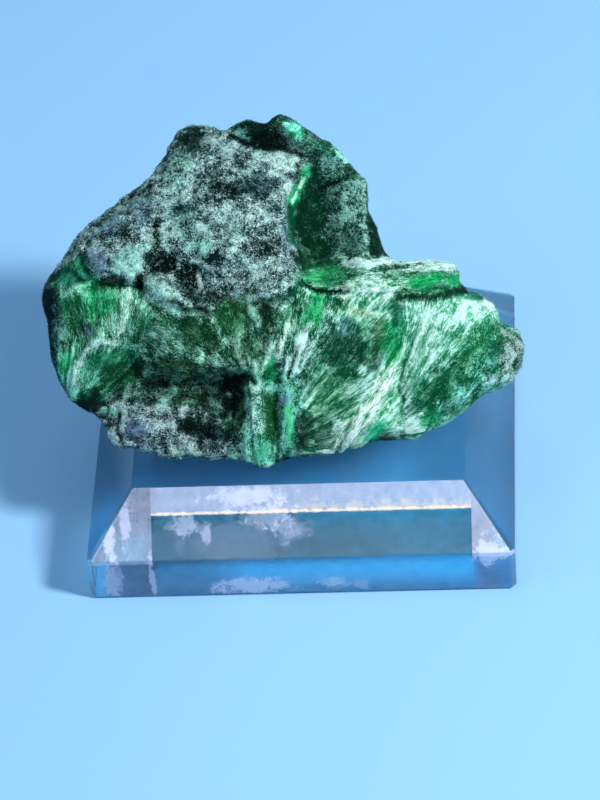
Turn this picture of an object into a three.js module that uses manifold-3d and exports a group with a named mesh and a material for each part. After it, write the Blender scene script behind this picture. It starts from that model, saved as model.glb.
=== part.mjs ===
// A hand specimen of silky malachite resting on a bevelled block of clear acrylic.
// Millimetres, +Z up, +X to the viewer's right, the viewer stands towards -Y.
// The origin is the centre of the block's bottom face.
import * as THREE from "three";
import { ConvexGeometry } from "three/addons/geometries/ConvexGeometry.js";
import { ImprovedNoise } from "three/addons/math/ImprovedNoise.js";
import { mergeVertices } from "three/addons/utils/BufferGeometryUtils.js";
import Module from "manifold-3d";

// The block: upright sides below, four bevels above them, a flat top.
const blockWidth = 76;
const blockDepth = 68;
const sideHeight = 9.2;
const bevelRise = 9.8;
const bevelRun = 8.5;
const arris = 0.4; // every polished edge is broken by this much
const blockHeight = sideHeight + bevelRise;
const topFrontEdge = -(blockDepth / 2 - bevelRun);

// The show face of the stone leans back on the block. Its own frame is u across, v up the
// face and w out of it, and starts at the middle of the front edge of the block's top.
const faceLean = THREE.MathUtils.degToRad(43.3);
const faceTurn = THREE.MathUtils.degToRad(-6.05);
const faceRoll = THREE.MathUtils.degToRad(-5.7);
const restGap = 0.1; // between the block and the points that the stone rests on

const cell = [1.7, 1.7, 2.2]; // size of the flat faces that the stone is built from
const stoneLow = [-49, -2, -50];
const stoneHigh = [44, 70, 7];

const rimDrop = 5.5; // how far behind the foot of the face the widest section lies
const rimSlope = -0.14; // and how that section leans back going up
const rimClearance = 1.4; // the widest section stays this far above the block
const edgeTaper = 0.42; // how fast the outline draws in, in front of the rim and behind it
const edgeLoss = 0.45; // what the rounding of the edge would otherwise take off the outline

// The level of the face where nothing is built up on it, at half its height, and its slope.
const groundLevel = -8.5;
const groundSlope = -0.1;
const halfHeight = 30;

// How wide the rounding is: between forms of the face, along its edge, between the breaks,
// where the breaks meet the edge, and round the rest.
const formRound = 1;
const edgeRound = 1.3;
const breakRound = 4;
const shoulderRound = 3;
const restRound = 0.6;

// Lumps in two sizes, and how strongly they show on the back, the breaks and the face.
const lumpSizes = [
  { size: 11, height: 1.7, shift: [3.1, 7.7, 1.3] },
  { size: 4.6, height: 0.75, shift: [9.2, 2.4, 5.8] },
];
const backRough = 0.6;
const breakRough = 2.2;
const faceRough = 0.2;

// The outline of the show face, clockwise from the corner above the crusted slope.
const outline = [
  [-21, 63.5], [-16.5, 64], [-12.5, 64], [-9.5, 66.5], [-7.5, 66], [-6, 64.5], [-3.5, 67], [0, 65.5],
  [1.5, 63.5], [4.5, 62], [7.5, 60], [10, 56.5], [12.5, 54.5], [12.5, 49], [14.5, 45.5],
  [16, 41], [18, 40], [25.5, 40], [28.5, 39], [29.5, 38], [29, 36], [30, 34.5],
  [33.5, 33.5], [35.5, 32], [36.5, 29], [40, 27], [41, 24], [40.5, 21], [38.5, 17], [32.5, 15],
  [27, 11], [23.5, 9], [20.5, 7.5], [14, 7.5], [9.5, 6], [3.5, 5], [-1.5, 4.5],
  [-5.5, 2.5], [-10, 3.5], [-18, 4.5], [-26.5, 5], [-33, 6.5], [-35.5, 10.5], [-41.5, 16.5],
  [-44, 24], [-45, 31], [-46, 33], [-44, 37], [-40.5, 42.5], [-38, 46.5], [-33, 50],
  [-26.5, 55.5], [-24, 58.5], [-22, 61.5],
];

// Plates of the show face. Inside its edge each follows a plane through `at`, with the given
// slope along u and v, raised by `crown` towards its middle. Outside it falls off by `steep`.
// A crusted plate is `rough` with lumps.
const plates = [
  {
    name: "crusted slope", at: [-15, 45, -3.4], slope: [0.04, -0.3], crown: 0.8, steep: 4, rough: 0.7,
    edge: [
      [-26, 66], [-12.5, 66], [-12, 61.5], [-6.5, 59.5], [0.5, 59.5], [1, 56.5], [-1.5, 52],
      [-3, 47.5], [-2, 44], [1, 36], [-3, 33.5], [-9.5, 32], [-14.5, 31], [-20, 32],
      [-30.5, 35.5], [-37, 36], [-46, 39], [-36, 53],
    ],
  },
  {
    name: "crust tongue", at: [-6, 31, 1.4], slope: [0.05, -0.12], crown: 0.5, steep: 1.6, rough: 0.5,
    edge: [[1, 36.5], [-1.5, 32.5], [-3.5, 27], [-6.5, 27], [-9.5, 31], [-14.5, 31.5], [-10, 35.5]],
  },
  {
    name: "upper lump", at: [-31, 39.5, -1.6], slope: [0.05, -0.2], crown: 1.4, steep: 1.4, rough: 0.4,
    edge: [[-35, 42], [-28, 42.5], [-26.5, 39], [-28, 36], [-34, 37]],
  },
  {
    name: "lower lump", at: [-23.5, 34, -0.6], slope: [0.05, -0.2], crown: 1.4, steep: 1.4, rough: 0.4,
    edge: [[-28, 37], [-22.5, 37.5], [-19, 34], [-21, 31], [-25.5, 32]],
  },
  {
    name: "velvet centre", at: [-10, 26, 1.2], slope: [0.12, 0.02], crown: 1, steep: 2.6, rough: 0.3,
    edge: [
      [-26, 32.5], [-17, 29.5], [-9.5, 31.5], [-3.5, 27], [-2, 23.5], [-6.5, 19.5], [-9, 19],
      [-17, 19.5], [-26, 22], [-30, 28.5],
    ],
  },
  {
    name: "left fan", at: [-36, 26, -3.4], slope: [0.28, 0], crown: 0.4, steep: 1.2, rough: 0.1,
    edge: [[-42, 35], [-28.5, 34.5], [-30, 29], [-34.5, 24.5], [-38.5, 16.5], [-46, 17.5], [-48, 27.5]],
  },
  {
    name: "left facet", at: [-41, 36, -5], slope: [0.3, -0.3], crown: 0, steep: 1.5, rough: 0,
    edge: [[-46, 39.5], [-40, 39.5], [-36.5, 35], [-42, 32.5], [-49, 34]],
  },
  {
    name: "lower lip", at: [-20, 9.5, -3.6], slope: [0.04, 0.04], crown: 1, steep: 1.2, rough: 0.8,
    edge: [[-37.5, 13.5], [-29.5, 14.5], [-17.5, 13.5], [-11, 9], [-6.5, 1], [-14.5, 0], [-36, 2]],
  },
  {
    name: "flute ground", at: [-4, 11, -1.2], slope: [0, 0.04], crown: 0, steep: 2.4, rough: 0,
    edge: [[-8.5, 19], [0.5, 21], [2.5, 2], [-8, 0], [-9.5, 9.5]],
  },
  {
    name: "great fan", at: [9, 20, -1.2], slope: [0, -0.02], crown: -0.8, steep: 1.4, rough: 0,
    edge: [
      [6.5, 34.5], [18, 32.5], [18, 23.5], [18.5, 12], [17, 4], [0.5, 3], [-1.5, 11.5],
      [-2.5, 20], [-1, 26.5],
    ],
  },
  {
    name: "right lobe", at: [27, 21, -1.8], slope: [-0.07, -0.02], crown: 0.8, steep: 1.4, rough: 0.15,
    edge: [
      [18, 32.5], [28.5, 34.5], [34.5, 36], [39, 32], [45, 24], [42, 12], [31, 9], [23.5, 5],
      [18, 6], [17.5, 15], [18, 23.5],
    ],
  },
];

// Ridges of the show face: crests along lines of (u, v, w), with rounded tops.
const ridges = [
  {
    name: "fan ridge", steep: 0.9, round: 1.2,
    line: [[6.5, 34, 0.6], [3.5, 28.5, 2.4], [0.5, 23.5, 3], [-2, 19.5, 1.6]],
  },
  {
    name: "fan hem", steep: 0.8, round: 1.5,
    line: [[18.5, 24.5, 0.6], [15.5, 17, 2], [9, 8.5, 1.4], [6, 5, 0]],
  },
  {
    name: "lobe crest", steep: 0.6, round: 2,
    line: [[20.5, 10, -1], [22.5, 17.5, 0.4], [26.5, 25.5, 0.9], [33, 32.5, -1.6]],
  },
  {
    name: "lobe fold", steep: 0.6, round: 1.5,
    line: [[25, 11, -1.4], [29.5, 17.5, -0.4], [36.5, 24.5, -2]],
  },
  {
    name: "shelf", steep: 1.3, round: 0.9,
    line: [[2, 35, -2.6], [8.5, 37.5, -1.6], [18, 38, -0.8], [28.5, 37.5, -1.8]],
  },
  {
    name: "hollow rim", steep: 1, round: 1,
    line: [[8.5, 58, -9.4], [12, 54, -8.8], [12, 48, -8.4], [13, 40, -8]],
  },
  {
    name: "top edge", steep: 1.1, round: 0.8,
    line: [[0.5, 62, -9.8], [5, 61, -9.8], [8, 58, -9.4]],
  },
  {
    name: "left knob", steep: 1, round: 1.6,
    line: [[-10.5, 63.5, -9.8], [-8.5, 65, -9.6]],
  },
  {
    name: "right knob", steep: 1, round: 1.6,
    line: [[-5, 63.5, -9.4], [-2.5, 65, -8.8], [-0.5, 62.5, -9.4]],
  },
  {
    name: "left flute", steep: 1.1, round: 1,
    line: [[-7.5, 18.5, 1.6], [-8, 13, 1.2], [-7, 8, 0.8], [-6, 2.5, 0]],
  },
  {
    name: "right flute", steep: 1, round: 1,
    line: [[-1.5, 18.5, 1], [-1.5, 11.5, 0.8], [-2, 4.5, 0]],
  },
  {
    name: "left crest", steep: 0.8, round: 1.2,
    line: [[-28.5, 34, -1], [-30, 29, -0.6], [-34.5, 24.5, -1.6], [-39, 17, -4.2]],
  },
];

// Cracks, valleys and pits of the show face: their floors along lines of (u, v, w).
const cuts = [
  {
    name: "shelf crack", steep: 1.5, round: 0.6,
    line: [[3.5, 34, -2.4], [9.5, 32.2, -3.4], [18, 32.6, -3.4], [25.5, 33.8, -3.8], [30, 35, -4.4]],
  },
  {
    name: "dark recess", steep: 3.4, round: 1.6,
    line: [[-28, 16.5, -6], [-18, 17, -7.5], [-12.4, 16.6, -8.5], [-12.6, 12.5, -8]],
  },
  {
    name: "flute groove", steep: 1.4, round: 0.8,
    line: [[-4.6, 17.5, -1], [-4.6, 11, -2], [-4.4, 5, -2.4]],
  },
  {
    name: "fan seam", steep: 1, round: 0.8,
    line: [[18.4, 26, -1], [18.6, 20, -1.4], [17.4, 12, -1.6]],
  },
  {
    name: "knob gap", steep: 1.1, round: 1.2,
    line: [[-7.5, 62.5, -13], [-3, 60.8, -12.8], [2, 59.5, -12.4]],
  },
  {
    name: "velvet hollow", steep: 2, round: 4,
    line: [[5, 55, -12.6], [4, 49, -13], [5.5, 43.5, -12.2]],
  },
  {
    name: "crust pit", steep: 1, round: 1,
    line: [[-24, 39, -5], [-19, 37, -4.4]],
  },
  {
    name: "crust nick", steep: 1, round: 0.8,
    line: [[-14, 34.5, -2.2], [-10, 35, -1.6]],
  },
  {
    name: "lump shadow", steep: 1.2, round: 0.8,
    line: [[-37.5, 36.5, -5.4], [-29, 35, -3.6]],
  },
  {
    name: "left valley", steep: 0.8, round: 2,
    line: [[-30, 21, -5], [-35, 14.5, -7.5]],
  },
  {
    name: "far notch", steep: 2.5, round: 1.5,
    line: [[15, 48, -14], [17.5, 42.5, -14]],
  },
];

// Breaks: the stone lies behind each of these planes, given by a point and an outward normal.
const breaks = [
  { name: "back", at: [0, 35, 36], out: [0.1, 1, 0.24] },
  { name: "back foot", at: [-6, 30, 24], out: [-0.16, 1, -0.72] },
  { name: "back left", at: [-30, 24, 40], out: [-0.85, 1, -0.1] },
  { name: "back right", at: [22, 27, 40], out: [0.9, 1, 0.16] },
  { name: "left underside", at: [-30, 0, 20], out: [-0.62, 0.1, -1] },
  { name: "right underside", at: [31, -4, 20], out: [0.5, 0.16, -1] },
  { name: "top", at: [-6, 30, 62], out: [-0.1, 0.7, 1] },
];

const lerp = THREE.MathUtils.lerp;

// Smooth maximum and minimum: k is the width of the rounding where two forms meet.
function smoothMax(a, b, k) {
  const h = Math.max(k - Math.abs(a - b), 0) / k;
  return Math.max(a, b) + (h * h * k) / 4;
}
const smoothMin = (a, b, k) => -smoothMax(-a, -b, k);

// How far a slope has fallen at this distance from its crest, with a rounded start.
const fall = (distance, steep, round) => steep * (Math.hypot(distance, round) - round);

// The face frame as a matrix that takes (u, v, w) to the part's frame.
function faceFrame() {
  const [s, c] = [Math.sin(faceLean), Math.cos(faceLean)];
  const out = new THREE.Vector3(-Math.sin(faceTurn) * c, -Math.cos(faceTurn) * c, s);
  const level = new THREE.Vector3(Math.cos(faceTurn), -Math.sin(faceTurn), 0);
  const across = level.applyAxisAngle(out, faceRoll);
  const up = new THREE.Vector3().crossVectors(out, across);
  return new THREE.Matrix4().makeBasis(across, up, out).setPosition(0, topFrontEdge, blockHeight);
}
const face = faceFrame();

// Distance from (u, v) to one stretch of a line, and how far along the stretch that is.
function stretch(a, b, u, v) {
  const [du, dv] = [b[0] - a[0], b[1] - a[1]];
  const along = THREE.MathUtils.clamp(((u - a[0]) * du + (v - a[1]) * dv) / (du * du + dv * dv), 0, 1);
  return { along, gap: Math.hypot(u - a[0] - along * du, v - a[1] - along * dv) };
}

// Distance to a closed outline, negative inside.
function edgeDistance(points, u, v) {
  let nearest = Infinity;
  let inside = false;
  points.forEach((b, i) => {
    const a = points.at(i - 1);
    nearest = Math.min(nearest, stretch(a, b, u, v).gap);
    if (a[1] > v !== b[1] > v && u < lerp(a[0], b[0], (v - a[1]) / (b[1] - a[1]))) inside = !inside;
  });
  return inside ? -nearest : nearest;
}

// The height of a ridge or a cut at (u, v): `sign` is 1 for a crest and -1 for a floor.
function lineHeight(form, u, v, sign) {
  const heights = form.line.slice(1).map((b, i) => {
    const a = form.line[i];
    const { along, gap } = stretch(a, b, u, v);
    return lerp(a[2], b[2], along) - sign * fall(gap, form.steep, form.round);
  });
  return sign > 0 ? Math.max(...heights) : Math.min(...heights);
}

function plateHeight(plate, u, v) {
  const beyond = edgeDistance(plate.edge, u, v);
  const plane = plate.at[2] + plate.slope[0] * (u - plate.at[0]) + plate.slope[1] * (v - plate.at[1]);
  const crown = plate.crown * (1 - Math.exp(Math.min(beyond, 0) / 3));
  return plane + crown - fall(Math.max(beyond, 0), plate.steep, 0.6);
}

// The show face: how far out the stone reaches over the point (u, v) of its frame.
function faceHeight(u, v) {
  let height = groundLevel + groundSlope * (v - halfHeight);
  for (const plate of plates) height = smoothMax(height, plateHeight(plate, u, v), formRound);
  for (const ridge of ridges) height = smoothMax(height, lineHeight(ridge, u, v, 1), formRound);
  for (const cut of cuts) height = smoothMin(height, lineHeight(cut, u, v, -1), formRound);
  return height;
}

function faceRoughness(u, v) {
  let rough = faceRough;
  for (const plate of plates) {
    const depth = -edgeDistance(plate.edge, u, v);
    rough = Math.max(rough, plate.rough * THREE.MathUtils.smoothstep(depth, -1, 2));
  }
  return rough;
}

const noise = new ImprovedNoise();

function lumps(p) {
  return lumpSizes.reduce((sum, { size, height, shift }) => {
    const [x, y, z] = p.toArray().map((c, i) => c / size + shift[i]);
    return sum + height * noise.noise(x, y, z);
  }, 0);
}

// The rounded outline as a closed polygon.
const outlineCurve = new THREE.CatmullRomCurve3(
  outline.map(([u, v]) => new THREE.Vector3(u, v, 0)), true, "centripetal",
);
const roundedOutline = outlineCurve.getPoints(outline.length * 3).slice(1).map((p) => [p.x, p.y]);

function breakDistance(at, out, point) {
  const normal = new THREE.Vector3(...out).normalize();
  return normal.dot(point) - normal.dot(new THREE.Vector3(...at));
}

// The stone as a field over (u, v, w): negative inside, close to a distance in millimetres.
// The face is steep in places, so its height counts for a little less than a distance.
const faceShare = 0.8;
const restLevelZ = blockHeight - 0.2;

function stoneField(local) {
  const { x: u, y: v, z: w } = local;
  const point = local.clone().applyMatrix4(face);
  const restLevel = w - (point.z - blockHeight) / face.elements[10];
  const rim = Math.max(-rimDrop + rimSlope * v, restLevel + rimClearance);
  const outlined = edgeDistance(roundedOutline, u, v) - edgeLoss + edgeTaper * Math.abs(w - rim);
  const faced = smoothMax(outlined, (w - faceHeight(u, v)) * faceShare, edgeRound);
  const behind = breaks
    .map(({ at, out }) => breakDistance(at, out, point))
    .reduce((a, b) => smoothMax(a, b, breakRound));
  const frontShare = THREE.MathUtils.smoothstep(w - rim, -4, 3);
  const lump = lumps(point);
  const broken = smoothMax(faced, behind + breakRough * lump * (1 - frontShare), shoulderRound);
  const rough = broken + lerp(backRough, faceRoughness(u, v), frontShare) * lump;
  return smoothMax(rough, restLevelZ - point.z, restRound);
}

// The eight corners of a grid cell, and its twelve edges as pairs of corners.
const corners = [0, 1, 2, 3, 4, 5, 6, 7].map((c) => [c & 1, (c >> 1) & 1, c >> 2]);
const edges = corners.flatMap((_, a) => [1, 2, 4].filter((bit) => !(a & bit)).map((bit) => [a, a | bit]));

// The field's values on a grid, with one stride for each direction.
function sampleField(field, low, high, step) {
  const count = low.map((l, i) => Math.ceil((high[i] - l) / step[i]) + 1);
  const strides = [1, count[0], count[0] * count[1]];
  const values = new Float64Array(strides[2] * count[2]);
  const point = new THREE.Vector3();
  for (let k = 0, n = 0; k < count[2]; k++)
    for (let j = 0; j < count[1]; j++)
      for (let i = 0; i < count[0]; i++) {
        point.set(low[0] + i * step[0], low[1] + j * step[1], low[2] + k * step[2]);
        values[n++] = field(point);
      }
  return { count, strides, values };
}

// Calls visit with the first corner of every cell and the places of its eight corners.
function eachCell({ count, strides }, visit) {
  const offsets = corners.map((c) => c[0] * strides[0] + c[1] * strides[1] + c[2] * strides[2]);
  for (let k = 0; k < count[2] - 1; k++)
    for (let j = 0; j < count[1] - 1; j++)
      for (let i = 0; i < count[0] - 1; i++) {
        const first = i + j * strides[1] + k * strides[2];
        visit([i, j, k], offsets.map((offset) => first + offset));
      }
}

// How many separate groups the inside and outside corners of a cell form, joined along edges.
function cornerGroups(inside) {
  const group = corners.map((_, c) => c);
  for (let pass = 0; pass < 3; pass++) {
    for (const [a, b] of edges) {
      if (inside[a] === inside[b]) group[a] = group[b] = Math.min(group[a], group[b]);
    }
  }
  return new Set(group).size;
}

// Where those groups are more than two the surface would pinch, so the weakest corner of the
// cell changes side, until no cell is left like that.
const unpinchedBy = 0.3;

function unpinch(grid) {
  const { values } = grid;
  let changed = true;
  while (changed) {
    changed = false;
    eachCell(grid, (_, places) => {
      const inside = places.map((place) => values[place] < 0);
      if (cornerGroups(inside) < 3) return;
      const weakest = places.reduce((a, b) => (Math.abs(values[b]) < Math.abs(values[a]) ? b : a));
      values[weakest] = -Math.sign(values[weakest]) * unpinchedBy;
      changed = true;
    });
  }
}

// Surface nets: one vertex in each cell that the surface crosses, one quad over each crossed edge.
function netMesh(field, low, high, step) {
  const grid = sampleField(field, low, high, step);
  unpinch(grid);
  const { count, strides, values } = grid;
  const vertexOf = new Map();
  const positions = [];
  eachCell(grid, (cellAt, places) => {
    const v = places.map((place) => values[place]);
    const crossed = edges.filter(([a, b]) => v[a] < 0 !== v[b] < 0);
    if (!crossed.length) return;
    vertexOf.set(places[0], positions.length / 3);
    for (let n = 0; n < 3; n++) {
      const total = crossed.reduce(
        (sum, [a, b]) => sum + lerp(corners[a][n], corners[b][n], v[a] / (v[a] - v[b])), 0,
      );
      positions.push(low[n] + (cellAt[n] + total / crossed.length) * step[n]);
    }
  });
  const index = [];
  for (let k = 1; k < count[2] - 1; k++)
    for (let j = 1; j < count[1] - 1; j++)
      for (let i = 1; i < count[0] - 1; i++) {
        const here = i + j * strides[1] + k * strides[2];
        for (let n = 0; n < 3; n++) {
          const inside = values[here] < 0;
          if (inside === values[here + strides[n]] < 0) continue;
          const [p, q] = [strides[(n + 1) % 3], strides[(n + 2) % 3]];
          const quad = [here - p - q, here - q, here, here - p].map((place) => vertexOf.get(place));
          if (!inside) quad.reverse();
          index.push(quad[0], quad[1], quad[2], quad[0], quad[2], quad[3]);
        }
      }
  return new THREE.BufferGeometry()
    .setAttribute("position", new THREE.Float32BufferAttribute(positions, 3))
    .setIndex(index);
}

const wasm = await Module();
wasm.setup();

function solidOf(geometry) {
  const bare = geometry.clone();
  bare.deleteAttribute("normal");
  bare.deleteAttribute("uv");
  const merged = mergeVertices(bare, 1e-4);
  return new wasm.Manifold(new wasm.Mesh({
    numProp: 3,
    vertProperties: merged.attributes.position.array,
    triVerts: new Uint32Array(merged.index.array),
  }));
}

function geometryOf(solid) {
  const mesh = solid.getMesh();
  const geometry = new THREE.BufferGeometry()
    .setAttribute("position", new THREE.BufferAttribute(mesh.vertProperties, 3))
    .setIndex(new THREE.BufferAttribute(mesh.triVerts, 1));
  geometry.computeVertexNormals();
  return geometry;
}

// The stone: its net, trimmed flat where its low points rest on the block.
function malachite() {
  const net = netMesh(stoneField, stoneLow, stoneHigh, cell).applyMatrix4(face);
  const slab = new THREE.BoxGeometry(200, 200, 40);
  slab.translate(0, 0, blockHeight + restGap - 20);
  const trimmed = solidOf(net).subtract(solidOf(slab));
  const [largest] = trimmed.decompose().sort((a, b) => b.volume() - a.volume());
  const stone = new THREE.MeshStandardMaterial({ color: 0x1f6b45, roughness: 0.7, metalness: 0 });
  const mesh = new THREE.Mesh(geometryOf(largest), stone);
  mesh.name = "malachite";
  return mesh;
}

// One level of the block: a rectangle with its corners broken by the arris.
function ring(width, depth, height, corner) {
  const [x, y] = [width / 2, depth / 2];
  return [[1, 1], [-1, 1], [-1, -1], [1, -1]].flatMap(([sx, sy]) => [
    new THREE.Vector3(sx * x, sy * (y - corner), height),
    new THREE.Vector3(sx * (x - corner), sy * y, height),
  ]);
}

// The block is convex, so the hull of its levels is the whole of it.
function acrylicBlock() {
  const [w, d] = [blockWidth, blockDepth];
  const [topWidth, topDepth] = [w - 2 * bevelRun, d - 2 * bevelRun];
  const levels = [
    ring(w - 2 * arris, d - 2 * arris, 0, arris),
    ring(w, d, arris, arris * 2),
    ring(w, d, sideHeight, arris * 2),
    ring(topWidth, topDepth, blockHeight, arris),
  ];
  const acrylic = new THREE.MeshStandardMaterial({
    color: 0xeaf4f8, roughness: 0.05, metalness: 0, transparent: true, opacity: 0.35,
  });
  const mesh = new THREE.Mesh(new ConvexGeometry(levels.flat()), acrylic);
  mesh.name = "acrylic_block";
  return mesh;
}

const specimen = new THREE.Group();
specimen.add(acrylicBlock(), malachite());

export default specimen;
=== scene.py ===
import itertools
import math
import bmesh
import bpy
import numpy as np
from mathutils import Matrix, Vector


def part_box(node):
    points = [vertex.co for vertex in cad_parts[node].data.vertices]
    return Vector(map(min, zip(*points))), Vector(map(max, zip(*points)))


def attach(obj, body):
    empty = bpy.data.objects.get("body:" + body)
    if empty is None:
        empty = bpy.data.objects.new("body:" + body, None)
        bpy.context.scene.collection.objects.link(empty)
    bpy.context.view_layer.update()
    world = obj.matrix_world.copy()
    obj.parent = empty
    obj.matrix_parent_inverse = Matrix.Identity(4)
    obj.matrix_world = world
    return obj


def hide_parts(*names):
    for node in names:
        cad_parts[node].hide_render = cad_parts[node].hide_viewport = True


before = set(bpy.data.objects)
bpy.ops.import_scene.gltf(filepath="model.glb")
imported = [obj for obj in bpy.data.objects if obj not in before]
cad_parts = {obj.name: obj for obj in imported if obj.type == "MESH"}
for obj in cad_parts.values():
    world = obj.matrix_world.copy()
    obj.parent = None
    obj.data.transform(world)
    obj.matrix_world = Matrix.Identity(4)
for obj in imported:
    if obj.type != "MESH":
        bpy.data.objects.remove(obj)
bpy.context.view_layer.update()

# The display block: clear cast acrylic, sawn, milled with four broad bevels and flame polished.
# Its edges are broken by a hair, and handling has left faint smudges and fine scratches.
MM = 0.001


class Wire:
    """One output socket of a node. Sums, differences, products and shares of it add Math nodes."""

    def __init__(self, finish, socket):
        self.finish = finish
        self.socket = socket

    def math(self, operation, first, second):
        return self.finish.node("Math", {"operation": operation}, {0: first, 1: second})

    def __add__(self, other):
        return self.math("ADD", self, other)

    __radd__ = __add__

    def __sub__(self, other):
        return self.math("SUBTRACT", self, other)

    def __rsub__(self, other):
        return self.math("SUBTRACT", other, self)

    def __mul__(self, other):
        return self.math("MULTIPLY", self, other)

    __rmul__ = __mul__

    def larger(self, other):
        """This value or the other, whichever is larger."""
        return self.math("MAXIMUM", self, other)

    def limited(self):
        """The same value, kept from 0 to 1."""
        return self.finish.node("Clamp", {}, {"Value": self})

    def between(self, low, high):
        """A mix of two colours, all `low` where this value is 0 and all `high` where it is 1."""
        return self.finish.node("Mix", {"data_type": "RGBA"}, {0: self, 6: low, 7: high}, output=2)


class Finish:
    """A material while its nodes are being joined up."""

    def __init__(self, name):
        self.material = bpy.data.materials.new(name)
        self.material.use_nodes = True
        self.tree = self.material.node_tree
        self.tree.nodes.clear()

    def node(self, kind, settings, sockets, output=0):
        """Adds a node: first its settings, then a value or a wire for each socket that is named."""
        made = self.tree.nodes.new("ShaderNode" + kind)
        for name, value in settings.items():
            setattr(made, name, value)
        for name, value in sockets.items():
            if isinstance(value, Wire):
                self.tree.links.new(value.socket, made.inputs[name])
            else:
                made.inputs[name].default_value = value
        return Wire(self, made.outputs[output]) if made.outputs else None

    def place(self):
        """Where a point of the piece lies, in metres."""
        return self.node("TexCoord", {}, {}, output=3)


def colour(red, green, blue):
    """A colour given as it shows on a screen, 0 to 255, as the linear values that shaders use."""
    screen = [c / 255 for c in (red, green, blue)]
    return tuple(c / 12.92 if c <= 0.04045 else ((c + 0.055) / 1.055) ** 2.4 for c in screen) + (1.0,)


def put(name, data):
    """Makes an object of a mesh, a lamp or a camera, and links it into the scene."""
    made = bpy.data.objects.new(name, data)
    bpy.context.scene.collection.objects.link(made)
    return made


def add_piece(name, mesh, replaced=()):
    """Puts a mesh into the scene as a piece that stands still on the object's one body."""
    piece = put(name, mesh)
    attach(piece, "root")
    for node in replaced:
        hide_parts(node)
    return piece


polish_round = 0.14 * MM
weld_reach = 0.01 * MM
flat_angle = math.radians(1)

block_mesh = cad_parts["acrylic_block"].data.copy()
block_mesh.materials.clear()
shape = bmesh.new()
shape.from_mesh(block_mesh)
bmesh.ops.remove_doubles(shape, verts=shape.verts, dist=weld_reach)
bmesh.ops.dissolve_limit(shape, angle_limit=flat_angle, verts=shape.verts, edges=shape.edges)
bmesh.ops.bevel(shape, geom=shape.edges[:], offset=polish_round, segments=2, profile=0.5, affect="EDGES")
shape.to_mesh(block_mesh)
shape.free()
block_mesh.polygons.foreach_set("use_smooth", [False] * len(block_mesh.polygons))

acrylic_ior = 1.49
acrylic_tint = (0.42, 0.93, 1.0, 1.0)
acrylic_density = 7.0


def clear_body(finish, roughness, relief):
    """The shader of clear acrylic whose skin has the given roughness and relief."""
    return finish.node("BsdfPrincipled", {}, {
        "Base Color": (1.0, 1.0, 1.0, 1.0),
        "Roughness": roughness,
        "IOR": acrylic_ior,
        "Transmission Weight": 1.0,
        "Normal": relief,
    })


def add_acrylic(finish, surface):
    """Gives the block one more acrylic, which tints what shines through it a little."""
    tint = finish.node("VolumeAbsorption", {}, {"Color": acrylic_tint, "Density": acrylic_density})
    finish.node("OutputMaterial", {}, {"Surface": surface, "Volume": tint})
    block_mesh.materials.append(finish.material)


def marks(finish, scale, detail, roughness=0.5):
    """Uneven marks over the block, about `scale` of them to the metre, with finer ones in them."""
    sockets = {"Vector": finish.place(), "Scale": scale, "Detail": detail, "Roughness": roughness}
    return finish.node("TexNoise", {}, sockets)


def add_filmed(finish, film, film_tone, haze, wear, depth):
    """Gives the block one more acrylic, with fine wear in its skin and a film on it: pale dust, which on the
    front bevel also carries a painted caustic.
    """
    hairlines = marks(finish, 2500.0, 2.0)
    worn = finish.node("Bump", {}, {"Height": hairlines, "Strength": wear, "Distance": depth})
    dust = finish.node("BsdfPrincipled", {}, {"Base Color": film_tone, "Roughness": 0.9})
    hazy = clear_body(finish, haze, worn)
    add_acrylic(finish, finish.node("MixShader", {}, {0: film, 1: hazy, 2: dust}))


smudge_start = 0.52
smudge_dullness = 0.5
polished = Finish("clear_acrylic")
smudges = marks(polished, 60.0, 4.0, 0.6)
stretched = polished.node("Mapping", {}, {
    "Vector": polished.place(), "Scale": (300.0, 2600.0, 900.0), "Rotation": (0.3, 0.2, 0.5),
})
scratches = polished.node("TexNoise", {}, {"Vector": stretched, "Scale": 1.0, "Detail": 3.0})
gloss = ((smudges - smudge_start) * smudge_dullness).limited()
relief = polished.node("Bump", {}, {"Height": scratches + smudges, "Strength": 0.05, "Distance": 0.1 * MM})
add_acrylic(polished, clear_body(polished, gloss, relief))

# Being slid about has scuffed the underside, and a film of pale dust sticks to it.
dust_film = 0.15
dust_patchiness = 0.3
scuffed = Finish("scuffed_acrylic")
film = ((marks(scuffed, 230.0, 5.0, 0.7) - 0.5) * dust_patchiness + dust_film).limited()
add_filmed(scuffed, film, colour(196, 222, 255), haze=0.03, wear=0.2, depth=0.04 * MM)

# The front bevel and the front side have a bloom of pale dust: on the bevel's top band, down to a line,
# and at both its ends. Along that line lies a brighter warm line of painted light, a painted caustic, and
# warm painted glints lie over it on the right. A fade is the way that an edge takes to rise, and a
# patchiness is how far the dust's own unevenness breaks it.
bevel_foot = 8.3 * MM
bloom_level = 15.4 * MM
bloom_left, bloom_right = -26.1 * MM, 30.4 * MM
foot_fade, band_fade, end_fade = 0.05 * MM, 0.25 * MM, 0.2 * MM
bloom_share, left_thinness, side_bloom = 0.56, 0.2, 0.15
bloom_patchiness = 0.6
band_raggedness = 0.5 * MM
painted_caustic_half = MM / 3.6
painted_caustic_strength, painted_caustic_patchiness, painted_caustic_share = 1.3, 2.5, 0.9
painted_glint_height = 1.25 * MM
painted_glint_fade = MM / 0.06
painted_glint_left = -0.7 * painted_glint_fade
painted_glint_strength, painted_glint_patchiness, painted_glint_share, painted_glint_warmth = 1.1, 8.0, 0.1, 0.6
most_dust = 0.9
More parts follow.
